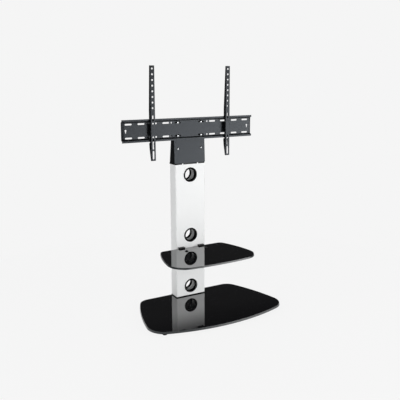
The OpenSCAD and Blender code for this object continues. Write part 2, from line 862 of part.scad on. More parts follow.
module shelf_bolts() {
    grip = shelf_washer_t + shelf_glass_t + arm_pad_t + bracket_t;
    color(plastic_black) from_back() translate([0, 0, shelf_top + shelf_washer_t])
        at_shelf_bolts() button_screw(shelf_bolt_head_d, bolt_head_h, screw_d,
            grip + screw_nut_h + play);
}

module shelf_bolt_washers() {
    color(rubber_black) from_back() translate([0, 0, shelf_top])
        linear_extrude(shelf_washer_t) at_shelf_bolts() difference() {
            circle(d = shelf_washer_d);
            circle(screw_d / 2 + play);
        }
}

module shelf_nuts() {
    color(zinc) from_back() translate([0, 0, bracket_arm_z - screw_nut_h]) at_shelf_bolts()
        hex_nut(screw_nut_w, screw_nut_h, screw_d);
}

base_glass();
base_feet();
base_clamp_plate();
base_clamp_gasket();
base_bolts();
column_gasket();
column_foot_plate();
column_tube();
column_head_plate();
front_cable_rings();
rear_cable_rings();
column_cap();
neck_mast();
mast_bolts();
neck_bracket();
neck_bolts();
neck_nuts();
mount_plate();
mount_bolts();
mount_nuts();
left_arm();
right_arm();
shelf_glass();
left_shelf_bracket();
right_shelf_bracket();
bracket_screws();
bracket_nuts();
shelf_arm_pads();
shelf_jaw_pads();
shelf_bolts();
shelf_bolt_washers();
shelf_nuts();
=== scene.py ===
import math

import bmesh
import bpy
from mathutils import Matrix, Vector
from mathutils.geometry import convex_hull_2d


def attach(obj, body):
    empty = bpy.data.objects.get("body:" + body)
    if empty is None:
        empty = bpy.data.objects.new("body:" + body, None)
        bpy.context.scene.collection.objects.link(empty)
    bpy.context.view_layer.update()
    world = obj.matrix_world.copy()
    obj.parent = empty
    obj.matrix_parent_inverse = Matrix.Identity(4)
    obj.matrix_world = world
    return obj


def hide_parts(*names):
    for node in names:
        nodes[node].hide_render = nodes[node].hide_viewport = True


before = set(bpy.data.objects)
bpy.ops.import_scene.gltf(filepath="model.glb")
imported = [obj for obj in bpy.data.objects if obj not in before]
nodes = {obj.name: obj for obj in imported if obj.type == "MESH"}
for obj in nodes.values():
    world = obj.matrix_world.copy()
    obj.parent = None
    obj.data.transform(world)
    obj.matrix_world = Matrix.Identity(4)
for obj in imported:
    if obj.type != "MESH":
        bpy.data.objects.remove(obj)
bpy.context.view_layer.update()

# Sizes and places are in millimetres, as in the part's source, and are turned into metres by MM.
# Depths run forward from the column's back face, which lines up with the base glass's back edge.
MM = 0.001
BACK_Y = 215.0
COLUMN_D = 60.0
STAND = "stand"
# Points of one flat face differ by less than this
FLAT = 0.01 * MM
# A face whose normal rises less than this is part of a plate's edge
UPRIGHT = 0.5


# Small tools for colours, nodes and meshes

def linear(hex_colour):
    """Turns an sRGB hex colour into the linear colour that a shader takes."""
    parts = [int(hex_colour[i:i + 2], 16) / 255 for i in (1, 3, 5)]
    return tuple(p / 12.92 if p <= 0.04045 else ((p + 0.055) / 1.055) ** 2.4
                 for p in parts) + (1.0,)


def plug(tree, node, inputs):
    """Fills a node's inputs. A socket is linked, a node is linked by its first output, a list
    links all that it holds to one input, and any other value is set."""
    for key, value in inputs.items():
        for source in value if isinstance(value, list) else [value]:
            if isinstance(source, bpy.types.Node):
                source = source.outputs[0]
            if isinstance(source, bpy.types.NodeSocket):
                tree.links.new(source, node.inputs[key])
            else:
                node.inputs[key].default_value = source


def add(tree, kind, inputs=None, **settings):
    """Adds a node with its settings, its links and its values."""
    node = tree.nodes.new(kind)
    for key, value in settings.items():
        setattr(node, key, value)
    plug(tree, node, inputs or {})
    return node


def per_mm(size):
    """Scale of a noise or pattern whose grains are this many millimetres across."""
    return 1 / (size * MM)


def linked(name, content):
    """A new object of a mesh, lamp or camera, in the scene."""
    piece = bpy.data.objects.new(name, content)
    bpy.context.scene.collection.objects.link(piece)
    return piece


def new_finish(name):
    """An empty material with its output, its object coordinates and its principled shader."""
    finish = bpy.data.materials.new(name)
    finish.use_nodes = True
    tree = finish.node_tree
    tree.nodes.clear()
    place = add(tree, "ShaderNodeTexCoord").outputs["Object"]
    shader = add(tree, "ShaderNodeBsdfPrincipled")
    add(tree, "ShaderNodeOutputMaterial", {"Surface": shader})
    return finish, tree, place, shader


# Finishes

def powder_coat(name, colour, dark, rough, spread=0.05, grain=1.6, peel=9.0, relief=0.03,
                shine="#FFFFFF"):
    """Sprayed and baked powder on sheet steel: an even colour, a fine pebble and, over it, the
    slow waves of orange peel, both drawn coarser than they are so that they show."""
    finish, tree, place, shader = new_finish(name)
    cloud = add(tree, "ShaderNodeTexNoise", {"Vector": place, "Scale": per_mm(70.0),
                                             "Detail": 2.0})
    tint = add(tree, "ShaderNodeMix", {"Factor": cloud, "A": linear(dark),
                                       "B": linear(colour)}, data_type="RGBA")
    pebble = add(tree, "ShaderNodeTexNoise", {"Vector": place, "Scale": per_mm(grain),
                                              "Detail": 3.0, "Roughness": 0.6})
    waves = add(tree, "ShaderNodeTexNoise", {"Vector": place, "Scale": per_mm(peel),
                                             "Detail": 1.0})
    dull = add(tree, "ShaderNodeMapRange", {"Value": pebble, "To Min": rough - spread,
                                            "To Max": rough + spread})
    fine = add(tree, "ShaderNodeBump", {"Height": pebble, "Strength": 0.25,
                                        "Distance": relief * MM})
    peeled = add(tree, "ShaderNodeBump", {"Height": waves, "Strength": 0.35,
                                          "Distance": 2 * relief * MM, "Normal": fine})
    plug(tree, shader, {"Base Color": tint.outputs["Result"], "Roughness": dull,
                        "Normal": peeled, "Specular Tint": linear(shine)})
    return finish


def moulded(name, colour, rough, spread=0.05, grain=1.2, relief=0.03, shine=0.5):
    """Moulded plastic or rubber: one dye colour with the fine spark grain of the mould."""
    finish, tree, place, shader = new_finish(name)
    pits = add(tree, "ShaderNodeTexVoronoi", {"Vector": place, "Scale": per_mm(grain)})
    haze = add(tree, "ShaderNodeTexNoise", {"Vector": place, "Scale": per_mm(18.0)})
    dull = add(tree, "ShaderNodeMapRange", {"Value": haze, "To Min": rough - spread,
                                            "To Max": rough + spread})
    bump = add(tree, "ShaderNodeBump", {"Height": pits, "Strength": 0.3,
                                        "Distance": relief * MM})
    plug(tree, shader, {"Base Color": linear(colour), "Specular IOR Level": shine,
                        "Roughness": dull, "Normal": bump})
    return finish


def black_glass(name, painted_reflection_fade=None):
    """Toughened float glass with black enamel: a mirror-smooth face over black, with the very
    slow waves that toughening leaves, which bend a reflection a little. The fade, if given,
    holds the two places along y between which the coat's weight, and with it the mirror, is
    faded out towards the front: a painted fade of the reflection, not a property of the glass."""
    finish, tree, place, shader = new_finish(name)
    waves = add(tree, "ShaderNodeTexNoise", {"Vector": place, "Scale": per_mm(160.0),
                                             "Detail": 0.0})
    haze = add(tree, "ShaderNodeTexNoise", {"Vector": place, "Scale": per_mm(40.0),
                                            "Detail": 2.0})
    dull = add(tree, "ShaderNodeMapRange", {"Value": haze, "To Min": 0.015, "To Max": 0.03})
    bump = add(tree, "ShaderNodeBump", {"Height": waves, "Strength": 0.1,
                                        "Distance": 0.04 * MM})
    plug(tree, shader, {"Base Color": linear("#161618"), "IOR": 1.2, "Coat Weight": 1.0,
                        "Coat IOR": 2.25, "Coat Roughness": 0.01, "Roughness": dull,
                        "Normal": bump})
    # Painted reflection fade: the coat's weight, and so the mirror, falls by place along y
    # towards the front
    if painted_reflection_fade:
        depth = add(tree, "ShaderNodeSeparateXYZ", {"Vector": place})
        painted_fade_weight = add(tree, "ShaderNodeMapRange", {
            "Value": depth.outputs["Y"], "From Min": painted_reflection_fade[1] * MM, "From Max": painted_reflection_fade[0] * MM},
            interpolation_type="SMOOTHSTEP")
        plug(tree, shader, {"Coat Weight": painted_fade_weight})
    return finish


def glass_edge(name):
    """Ground and polished glass edge: the clear glass shows there, so it is a little greyer and
    softer than the face, with the fine streaks of the wheel running along it."""
    finish, tree, place, shader = new_finish(name)
    stretch = add(tree, "ShaderNodeMapping", {"Vector": place, "Scale": (1.0, 1.0, 12.0)})
    streaks = add(tree, "ShaderNodeTexNoise", {"Vector": stretch, "Scale": per_mm(9.0),
                                               "Detail": 2.0})
    tint = add(tree, "ShaderNodeMix", {"Factor": streaks, "A": linear("#171A1C"),
                                       "B": linear("#222729")}, data_type="RGBA")
    dull = add(tree, "ShaderNodeMapRange", {"Value": streaks, "To Min": 0.26, "To Max": 0.38})
    plug(tree, shader, {"Base Color": tint.outputs["Result"], "IOR": 1.72, "Roughness": dull})
    return finish


def zinc_plate(name, light, dark, rough):
    """Bright zinc plating on turned steel: a soft metal sheen with slightly cloudy patches and
    fine turning marks."""
    finish, tree, place, shader = new_finish(name)
    cloud = add(tree, "ShaderNodeTexNoise", {"Vector": place, "Scale": per_mm(4.0),
                                             "Detail": 3.0})
    tint = add(tree, "ShaderNodeMix", {"Factor": cloud, "A": linear(dark),
                                       "B": linear(light)}, data_type="RGBA")
    dull = add(tree, "ShaderNodeMapRange", {"Value": cloud, "To Min": rough - 0.06,
                                            "To Max": rough + 0.08})
    marks = add(tree, "ShaderNodeTexNoise", {"Vector": place, "Scale": per_mm(0.7)})
    bump = add(tree, "ShaderNodeBump", {"Height": marks, "Strength": 0.2,
                                        "Distance": 0.02 * MM})
    plug(tree, shader, {"Base Color": tint.outputs["Result"], "Metallic": 1.0,
                        "Roughness": dull, "Normal": bump})
    return finish


# The base glass's mirror is faded towards the front by place along y: a painted reflection fade
BASE_GLASS = black_glass("toughened_black_base_glass", painted_reflection_fade=(20.0, -240.0))
SHELF_GLASS = black_glass("toughened_black_shelf_glass")
EDGE = glass_edge("polished_glass_edge")
WHITE = powder_coat("white_powder_coat", "#ECEDED", "#E9EAEA", rough=0.5)
BLACK = powder_coat("black_powder_coat", "#131416", "#101113", rough=0.36, shine="#EEF6FF")
# The mast wears the same black powder coat, drawn darker and duller here: painted shade for the
# slots in the plate and hood through which it shows
MAST_SHADE_COAT = powder_coat("mast_coat_painted_shade", "#0B0B0C", "#080809", rough=0.62)
BRACKET = powder_coat("satin_black_bracket_coat", "#0E0E0F", "#0B0B0C", rough=0.45)
ABS = moulded("moulded_black_plastic", "#060607", rough=0.55, shine=0.1)
RUBBER = moulded("moulded_black_rubber", "#0B0B0B", rough=0.85, grain=1.6, shine=0.25)
ZINC = zinc_plate("bright_zinc_plate", "#D9DBDD", "#B8BBBE", rough=0.21)
DARK_BOLT = moulded("black_oxide_bolt", "#0F0F10", rough=0.38, grain=0.9)


# Pieces taken over from the frame with closed seams and broken edges

def smooth(mesh, angle):
    """Smooth shading with creases where faces meet at more than the angle."""
    for polygon in mesh.polygons:
        polygon.use_smooth = True
    mesh.set_sharp_from_angle(angle=math.radians(angle))


def stand_for(piece, body, node):
    """Rides a finished piece on its body, in the place of the frame's own node."""
    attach(piece, body)
    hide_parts(node)


def closed_copy(node, name, finish):
    """A copy of a node's mesh with its loose triangles joined and its flat faces whole."""
    shape = bmesh.new()
    shape.from_mesh(nodes[node].data)
    bmesh.ops.remove_doubles(shape, verts=shape.verts, dist=0.003 * MM)
    bmesh.ops.dissolve_limit(shape, angle_limit=math.radians(0.4), verts=shape.verts,
                             edges=shape.edges, use_dissolve_boundaries=False)
    mesh = bpy.data.meshes.new(name)
    shape.to_mesh(mesh)
    shape.free()
    mesh.materials.clear()
    mesh.materials.append(finish)
    return linked(name, mesh)


def edged(node, name, finish, body=STAND, width=0.4, segments=2, angle=35.0):
    """A copy of a node whose edges are broken by a small round, as paint and tumbling do."""
    piece = closed_copy(node, name, finish)
    smooth(piece.data, angle=32.0)
    rounding = piece.modifiers.new("broken_edges", "BEVEL")
    rounding.width = width * MM
    rounding.segments = segments
    rounding.limit_method = "ANGLE"
    rounding.angle_limit = math.radians(angle)
    rounding.harden_normals = True
    rounding.use_clamp_overlap = True
    stand_for(piece, body, node)
    return piece


def top_outline(shape):
    """The vertices round the outside of a flat piece's upper face, in order, from its back."""
    top = max(vert.co.z for vert in shape.verts)
    upper = [vert for vert in shape.verts if vert.co.z > top - FLAT]
    outline = [upper[i] for i in convex_hull_2d([vert.co.xy for vert in upper])]
    back = max(range(len(outline)), key=lambda i: (outline[i].co.y, outline[i].co.x))
    return outline[back:] + outline[:back]


def ground_rim(mesh, lean):
    """Leans the outer edge of a glass shelf inwards at its top, as the grinding wheel leaves
    it, so that the edge catches the light that stands beside the stand."""
    shape = bmesh.new()
    shape.from_mesh(mesh)
    for vert in top_outline(shape):
        out = Vector((0, 0, 0))
        for face in vert.link_faces:
            if abs(face.normal.z) < UPRIGHT:
                out += face.normal
        vert.co -= Vector((out.x, out.y, 0)).normalized() * lean * MM
    shape.to_mesh(mesh)
    shape.free()


def glass_shelf(node, name, face, lean):
    """A glass shelf: black faces, and a leaning polished edge with its arrises rounded off."""
    piece = edged(node, name, face, width=0.9, segments=3, angle=50.0)
    ground_rim(piece.data, lean)
    piece.data.materials.append(EDGE)
    for polygon in piece.data.polygons:
        if abs(polygon.normal.z) < UPRIGHT:
            polygon.material_index = 1
    piece.modifiers["broken_edges"].material = 1


def lipped_gasket(node, name, finish, proud, rise):
    """The gasket under the column, with the soft lip that hugs the column's foot at its front
    and sides and shows as a dark line on the glass."""
    piece = edged(node, name, finish)
    shape = bmesh.new()
    shape.from_mesh(piece.data)
    outline = [vert.co.copy() for vert in top_outline(shape)]
    low = min(vert.co.z for vert in shape.verts)
    top = max(vert.co.z for vert in shape.verts)
    shoulder = (0.6 * proud, top + 0.7 * rise * MM)
    profile = ((0.0, low), (proud, low), (proud, top), shoulder, (0.0, top + rise * MM))
    rings = []
    for i, point in enumerate(outline):
        along = outline[(i + 1) % len(outline)] - outline[i - 1]
        out = Vector((along.y, -along.x, 0)).normalized()
        faces_back = out.y >= 0.5
        if not faces_back:
            rings.append([shape.verts.new((point.x + out.x * far * MM,
                                           point.y + out.y * far * MM, z))
                          for far, z in profile])
    for here, after in zip(rings, rings[1:]):
        for j in range(len(profile)):
            k = (j + 1) % len(profile)
            shape.faces.new((here[j], after[j], after[k], here[k]))
    shape.faces.new(rings[0])
    shape.faces.new(reversed(rings[-1]))
    bmesh.ops.recalc_face_normals(shape, faces=shape.faces)
    shape.to_mesh(piece.data)
    shape.free()


glass_shelf("base_glass", "base_shelf_glass", BASE_GLASS, lean=2.1)
glass_shelf("shelf_glass", "upper_shelf_glass", SHELF_GLASS, lean=1.7)
edged("column_tube", "column_body", WHITE, width=0.5)
edged("column_cap", "column_top_cap", ABS, width=0.8, segments=3)
edged("neck_bracket", "neck_hood", BLACK, width=0.6)
# The mast's darker, duller coat is painted shade in the slots that it shows through
edged("neck_mast", "neck_inner_mast", MAST_SHADE_COAT, width=0.6)
edged("mount_plate", "mount_rail_plate", BLACK, width=0.5)
edged("left_arm", "left_mount_arm", BLACK, body="left_arm")
edged("right_arm", "right_mount_arm", BLACK, body="right_arm")
edged("left_shelf_bracket", "left_bracket", BRACKET, width=0.5)
edged("right_shelf_bracket", "right_bracket", BRACKET, width=0.5)
edged("shelf_arm_pads", "shelf_lower_pads", RUBBER, width=0.3)
edged("shelf_jaw_pads", "shelf_upper_pads", RUBBER)
edged("base_clamp_plate", "clamp_plate", BLACK)
edged("base_clamp_gasket", "clamp_gasket", RUBBER, width=0.2)
lipped_gasket("column_gasket", "column_foot_gasket", RUBBER, proud=1.7, rise=1.8)

# These keep the frame's own shape and only get their finish
for node, finish in (("column_foot_plate", WHITE), ("column_head_plate", WHITE),
                     ("shelf_bolt_washers", RUBBER), ("bracket_nuts", ZINC)):
    nodes[node].data.materials.clear()
    nodes[node].data.materials.append(finish)


# Turned and moulded pieces

# Heights of the cable holes
CABLE_ZS = (74.0, 338.5, 640.5)
# Feet, across from the middle and forward from the back edge
FEET = ((-293.5, 362), (293.5, 362), (-235, 50), (235, 50))


def turned(name, profile, finish, places, steps=96):
    """Closed rings turned from a profile of radius and height, one at each place."""
    shape = bmesh.new()
    for matrix in places:
        rings = []
        for i in range(steps):
            angle = 2 * math.pi * i / steps
            rings.append([shape.verts.new(matrix @ Vector((r * MM * math.cos(angle),
                                                           r * MM * math.sin(angle), h * MM)))
                          for r, h in profile])
        for i in range(steps):
            here, after = rings[i], rings[(i + 1) % steps]
            for j in range(len(profile)):
                k = (j + 1) % len(profile)
                shape.faces.new((here[j], after[j], after[k], here[k]))
    bmesh.ops.remove_doubles(shape, verts=shape.verts, dist=0.001 * MM)
    bmesh.ops.recalc_face_normals(shape, faces=shape.faces)
    mesh = bpy.data.meshes.new(name)
    shape.to_mesh(mesh)
    shape.free()
    mesh.materials.append(finish)
    smooth(mesh, angle=40.0)
    return linked(name, mesh)


def fillet(centre, radius, start, end, steps):
    """Points of a small arc in a profile, with its angles in degrees."""
    angles = [math.radians(start + (end - start) * i / steps) for i in range(steps + 1)]
    return [(centre[0] + radius * math.cos(a), centre[1] + radius * math.sin(a))
            for a in angles]


def ring_profile():
    """A cable ring: a collar that lines the hole, and a flange with a rounded front."""
    bore_r, collar_r, flange_r = 28.5, 30.4, 35.5
    collar_depth = 14.5
    flange_t = 2.4
    soft = 1.4
    return ([(bore_r, -collar_depth), (collar_r, -collar_depth), (collar_r, 0.0),
             (flange_r, 0.0)]
            + fillet((flange_r - soft, flange_t - soft), soft, 0, 90, steps=6)
            + fillet((bore_r + soft, flange_t - soft), soft, 90, 180, steps=6))


def foot_profile():
    """A foot, from the hollow in its sole up its cone to the collar that meets the glass."""
    hollow_r, sole_r, cone_r, collar_r = 6.0, 10.5, 11.9, 13.0
    hollow_depth, cone_top, foot_top = 1.6, 7.0, 11.0
    hollow_soft, sole_soft, collar_soft = 0.6, 1.2, 0.7
    return ([(0.0, hollow_depth), (hollow_r, hollow_depth)]
            + fillet((hollow_r + hollow_soft, hollow_soft), hollow_soft, 180, 270, steps=3)
            + fillet((sole_r - sole_soft, sole_soft), sole_soft, 270, 360, steps=5)
            + [(cone_r, cone_top)]
            + fillet((collar_r - collar_soft, cone_top + collar_soft), collar_soft, 270, 360,
                     steps=4)
            + [(collar_r, foot_top), (0.0, foot_top)])


def cable_rings(name, node, face_y, turn):
    """The rings of the three cable holes in one face of the column."""
    rings = turned(name, ring_profile(), ABS,
                   [Matrix.Translation((0, face_y * MM, z * MM)) @ Matrix.Rotation(turn, 4, "X")
                    for z in CABLE_ZS])
    stand_for(rings, STAND, node)


cable_rings("front_rings", "front_cable_rings", BACK_Y - COLUMN_D, math.pi / 2)
cable_rings("rear_rings", "rear_cable_rings", BACK_Y, -math.pi / 2)
feet = turned("rubber_feet", foot_profile(), RUBBER,
              [Matrix.Translation((x * MM, (BACK_Y - depth) * MM, 0)) for x, depth in FEET],
              steps=48)
stand_for(feet, STAND, "base_feet")


# Fasteners

def tree_with(name, sizes):
    """A geometry tree with its named inputs; gives the tree and its input node's outputs."""
    tree = bpy.data.node_groups.new(name, "GeometryNodeTree")
    tree.interface.new_socket("Places", in_out="INPUT", socket_type="NodeSocketGeometry")
    for label in sizes:
        tree.interface.new_socket(label, in_out="INPUT", socket_type="NodeSocketFloat")
    tree.interface.new_socket("Finish", in_out="INPUT", socket_type="NodeSocketMaterial")
    tree.interface.new_socket("Pieces", in_out="OUTPUT", socket_type="NodeSocketGeometry")
    return tree, tree.nodes.new("NodeGroupInput").outputs


def finish_tree(tree, given, shape):
    """Puts the shape at every place, turned to face its own way, and ends the tree."""
    way = add(tree, "GeometryNodeInputNamedAttribute", {"Name": "facing"},
              data_type="FLOAT_VECTOR")
    turn = add(tree, "FunctionNodeAlignRotationToVector",
               {"Vector": way.outputs["Attribute"]}, axis="Z")
    copies = add(tree, "GeometryNodeInstanceOnPoints",
                 {"Points": given["Places"], "Instance": shape, "Rotation": turn})
    real = add(tree, "GeometryNodeRealizeInstances", {"Geometry": copies})
    coated = add(tree, "GeometryNodeSetMaterial",
                 {"Geometry": real, "Material": given["Finish"]})
    add(tree, "NodeGroupOutput", {"Pieces": coated})


def raised(tree, mesh, height):
    """Lifts a mesh along its own axis inside a tree."""
    shift = add(tree, "ShaderNodeCombineXYZ", {"Z": height})
    return add(tree, "GeometryNodeTransform", {"Geometry": mesh, "Translation": shift})


def rod(tree, sides, radius, low, high):
    """A rod or prism of so many sides, between two heights inside a tree."""
    length = add(tree, "ShaderNodeMath", {0: high, 1: low}, operation="SUBTRACT")
    middle = add(tree, "ShaderNodeMath", {0: length, 1: 0.5, 2: low}, operation="MULTIPLY_ADD")
    body = add(tree, "GeometryNodeMeshCylinder",
               {"Vertices": sides, "Radius": radius, "Depth": length})
    return raised(tree, body, middle)


def rolled_thread(tree, given, tip):
    """A thread wound round the core, with half a pitch left free at both of its ends."""
    pitch, core_r = given["Thread Pitch"], given["Core Radius"]
    run = add(tree, "ShaderNodeMath", {0: given["Thread Length"], 1: pitch},
              operation="SUBTRACT")
    turns = add(tree, "ShaderNodeMath", {0: run, 1: pitch}, operation="DIVIDE")
    helix = add(tree, "GeometryNodeCurveSpiral",
                {"Resolution": 24, "Rotations": turns, "Start Radius": core_r,
                 "End Radius": core_r, "Height": run})
    tooth_r = add(tree, "ShaderNodeMath", {0: given["Thread Radius"], 1: core_r},
                  operation="SUBTRACT")
    tooth = add(tree, "GeometryNodeCurvePrimitiveCircle", {"Resolution": 4, "Radius": tooth_r},
                mode="RADIUS")
    thread = add(tree, "GeometryNodeCurveToMesh",
                 {"Curve": helix, "Profile Curve": tooth, "Fill Caps": True})
    start = add(tree, "ShaderNodeMath", {0: pitch, 1: 0.5, 2: tip}, operation="MULTIPLY_ADD")
    return raised(tree, thread, start)


def socket_screw_tree():
    """Button head screw: a domed head with a hexagon socket, a core and a rolled thread. Its
    head sits on height 0, and its shank hangs below."""
    tree, given = tree_with("socket_screws", (
        "Head Radius", "Head Height", "Crown Radius", "Socket Radius", "Socket Depth",
        "Core Radius", "Thread Radius", "Plain Length", "Thread Length", "Thread Pitch"))
    head_h = given["Head Height"]
    drum = rod(tree, 48, given["Head Radius"], 0.0, head_h)
    ball = add(tree, "GeometryNodeMeshUVSphere",
               {"Segments": 48, "Rings": 64, "Radius": given["Crown Radius"]})
    sink = add(tree, "ShaderNodeMath", {0: head_h, 1: given["Crown Radius"]},
               operation="SUBTRACT")
    dome = add(tree, "GeometryNodeMeshBoolean", {"Mesh 2": [drum, raised(tree, ball, sink)]},
               operation="INTERSECT", solver="EXACT")
    key_low, key_high = (
        add(tree, "ShaderNodeMath", {0: head_h, 1: given["Socket Depth"]}, operation=way)
        for way in ("SUBTRACT", "ADD"))
    key = rod(tree, 6, given["Socket Radius"], key_low, key_high)
    head = add(tree, "GeometryNodeMeshBoolean", {"Mesh 1": dome, "Mesh 2": key},
               operation="DIFFERENCE", solver="EXACT")
    plain_end = add(tree, "ShaderNodeMath", {0: 0.0, 1: given["Plain Length"]},
                    operation="SUBTRACT")
    tip = add(tree, "ShaderNodeMath", {0: plain_end, 1: given["Thread Length"]},
              operation="SUBTRACT")
    plain = rod(tree, 32, given["Thread Radius"], plain_end, 0.0)
    core = rod(tree, 32, given["Core Radius"], tip, plain_end)
    thread = rolled_thread(tree, given, tip)
    finish_tree(tree, given, add(tree, "GeometryNodeJoinGeometry",
                                 {"Geometry": [head, plain, core, thread]}))
    return tree


def hex_nut_tree():
    """Hexagon nut: a six-sided prism with both faces chamfered by a cone, bored through."""
    tree, given = tree_with("hex_nuts", (
        "Corner Radius", "Height", "Face Radius", "Cone Radius", "Bore Radius"))
    height = given["Height"]
    prism = rod(tree, 6, given["Corner Radius"], 0.0, height)
    cones = [add(tree, "GeometryNodeMeshCone",
                 {"Vertices": 48, "Radius Top": given[top], "Radius Bottom": given[bottom],
                  "Depth": height})
             for top, bottom in (("Face Radius", "Cone Radius"), ("Cone Radius", "Face Radius"))]
    body = add(tree, "GeometryNodeMeshBoolean", {"Mesh 2": [prism, *cones]},
               operation="INTERSECT", solver="EXACT")
    under = add(tree, "ShaderNodeMath", {0: 0.0, 1: height}, operation="SUBTRACT")
    over = add(tree, "ShaderNodeMath", {0: height, 1: height}, operation="ADD")
    bore = rod(tree, 32, given["Bore Radius"], under, over)
    finish_tree(tree, given, add(tree, "GeometryNodeMeshBoolean",
                                 {"Mesh 1": body, "Mesh 2": bore},
                                 operation="DIFFERENCE", solver="EXACT"))
    return tree


def grown(tree, name, places, sizes, finish):
    """Runs a fastener tree over places of point and facing, and gives one plain mesh."""
    seed = bpy.data.meshes.new(name + "_places")
    seed.from_pydata([[c * MM for c in point] for point, _ in places], [], [])
    ways = seed.attributes.new("facing", "FLOAT_VECTOR", "POINT")
    for i, (_, way) in enumerate(places):
        ways.data[i].vector = way
    holder = linked(name + "_holder", seed)
    maker = holder.modifiers.new("maker", "NODES")
    maker.node_group = tree
    labels = {s.name: s.identifier for s in tree.interface.items_tree if s.in_out == "INPUT"}
    for label, value in sizes.items():
        maker[labels[label]] = float(value) * MM
    maker[labels["Finish"]] = finish
    bpy.context.view_layer.update()
    graph = bpy.context.evaluated_depsgraph_get()
    mesh = bpy.data.meshes.new_from_object(holder.evaluated_get(graph), depsgraph=graph)
    bpy.data.objects.remove(holder)
    mesh.name = name
    smooth(mesh, angle=28.0)
    return linked(name, mesh)


SCREWS = socket_screw_tree()
NUTS = hex_nut_tree()

# Shares of a screw's head and shank, and of a nut's width
CROWN_SHARE = 0.62
SOCKET_RADIUS_SHARE = 0.23
SOCKET_DEPTH_SHARE = 0.6
CORE_SHARE = 0.86
PITCH_SHARE = 0.16
NUT_FACE_SHARE = 0.96
NUT_CHAMFER = math.radians(30)
NUT_PLAY = 0.1


def screws(name, node, places, head, shank_d, length, plain, finish=ZINC):
    """A set of button head screws on the stand, in the place of one node. The head is given
    by its diameter and height, and the length runs from under it, its plain part first."""
    head_d, head_h = head
    rise = CROWN_SHARE * head_h
    sizes = {
        "Head Radius": head_d / 2, "Head Height": head_h,
        "Crown Radius": (head_d * head_d / 4 + rise * rise) / (2 * rise),
        "Socket Radius": head_d * SOCKET_RADIUS_SHARE,
        "Socket Depth": head_h * SOCKET_DEPTH_SHARE,
        "Core Radius": shank_d / 2 * CORE_SHARE, "Thread Radius": shank_d / 2,
        "Plain Length": plain, "Thread Length": length - plain,
        "Thread Pitch": shank_d * PITCH_SHARE}
    stand_for(grown(SCREWS, name, places, sizes, finish), STAND, node)


def nuts(name, node, places, size, bore):
    """A set of hexagon nuts on the stand, in the place of one node. The size gives the width
    across the flats and the height."""
    across, height = size
    face_r = across / 2 * NUT_FACE_SHARE
    sizes = {
        "Corner Radius": across / math.cos(math.radians(30)) / 2, "Height": height,
        "Face Radius": face_r, "Cone Radius": face_r + height / math.tan(NUT_CHAMFER),
        "Bore Radius": bore / 2 + NUT_PLAY}
    stand_for(grown(NUTS, name, places, sizes, ZINC), STAND, node)


# Shank diameters, heads by diameter and height, and nuts by width and height
M8, M6 = 8, 6
BROAD_HEAD, SMALL_HEAD = (14, 4.5), (10.5, 3.3)
BROAD_NUT, SMALL_NUT = (13, 6.5), (10, 5)

UP, DOWN, FORWARD = (0, 0, 1), (0, 0, -1), (0, -1, 0)

# The four bolts at each end of the column
END_BOLTS = [(x, BACK_Y - COLUMN_D / 2 + y) for x in (-50, 50) for y in (-12, 12)]
CLAMP_PLATE_LOW_Z = 6.5
MAST_FLOOR_Z = 701.5

# The neck's front leans back as it rises, so its two bolts do too
NECK_LEAN, NECK_RISE = 5.5, 113.5
NECK_ANGLE = math.atan(NECK_LEAN / NECK_RISE)
NECK_WAY = Vector((0, -math.cos(NECK_ANGLE), math.sin(NECK_ANGLE)))
NECK_BOLTS = [Vector((x, BACK_Y - 55.523, 769.75)) for x in (-62.5, 62.5)]
# From under a neck bolt's head to the back of its nut
NECK_NUT_BACK = 10.5

MOUNT_BOLTS = [(x, z) for x in (-62.5, 62.5) for z in (831.45, 893.95)]
MOUNT_FRONT_Y = BACK_Y - 55.5
MOUNT_NUT_Y = BACK_Y - 41.5

BRACKET_XS = (-54, 54)
BRACKET_SCREWS = [(x, z) for x in BRACKET_XS for z in (217, 245)]
BRACKET_FRONT_Y = BACK_Y - 63
SHELF_BOLT_Y = BACK_Y - 119
SHELF_WASHER_TOP_Z = 278.5
SHELF_NUT_Z = 260

screws("base_screws", "base_bolts", [((x, y, CLAMP_PLATE_LOW_Z), DOWN) for x, y in END_BOLTS],
       BROAD_HEAD, M8, length=26.5, plain=12)
screws("mast_screws", "mast_bolts", [((x, y, MAST_FLOOR_Z), UP) for x, y in END_BOLTS],
       BROAD_HEAD, M8, length=17, plain=5)
screws("neck_screws", "neck_bolts", [(point, NECK_WAY) for point in NECK_BOLTS],
       SMALL_HEAD, M6, length=10.6, plain=2)
screws("mount_screws", "mount_bolts",
       [((x, MOUNT_FRONT_Y, z), FORWARD) for x, z in MOUNT_BOLTS],
       BROAD_HEAD, M8, length=14.1, plain=3)
screws("shelf_bracket_screws", "bracket_screws",
       [((x, BRACKET_FRONT_Y, z), FORWARD) for x, z in BRACKET_SCREWS],
       SMALL_HEAD, M6, length=13, plain=3)
screws("shelf_screws", "shelf_bolts",
       [((x, SHELF_BOLT_Y, SHELF_WASHER_TOP_Z), UP) for x in BRACKET_XS],
       BROAD_HEAD, M6, length=18.6, plain=8, finish=DARK_BOLT)
nuts("neck_bolt_nuts", "neck_nuts",
     [(point - NECK_WAY * NECK_NUT_BACK, NECK_WAY) for point in NECK_BOLTS], SMALL_NUT, M6)
nuts("mount_bolt_nuts", "mount_nuts",
     [((x, MOUNT_NUT_Y, z), FORWARD) for x, z in MOUNT_BOLTS], BROAD_NUT, M8)
nuts("shelf_bolt_nuts", "shelf_nuts",
     [((x, SHELF_BOLT_Y, SHELF_NUT_Z), UP) for x in BRACKET_XS], SMALL_NUT, M6)


# Floor, background, lights and camera, in metres and degrees

PALE = "#F5F5F5"
FLOOR_RADIUS = 1.5
# The floor's own light makes it as pale as the background, and the rest, which is paper, keeps
# the shadow
FLOOR_GLOW = 1.045
FLOOR_GLOW_SHARE = 0.9
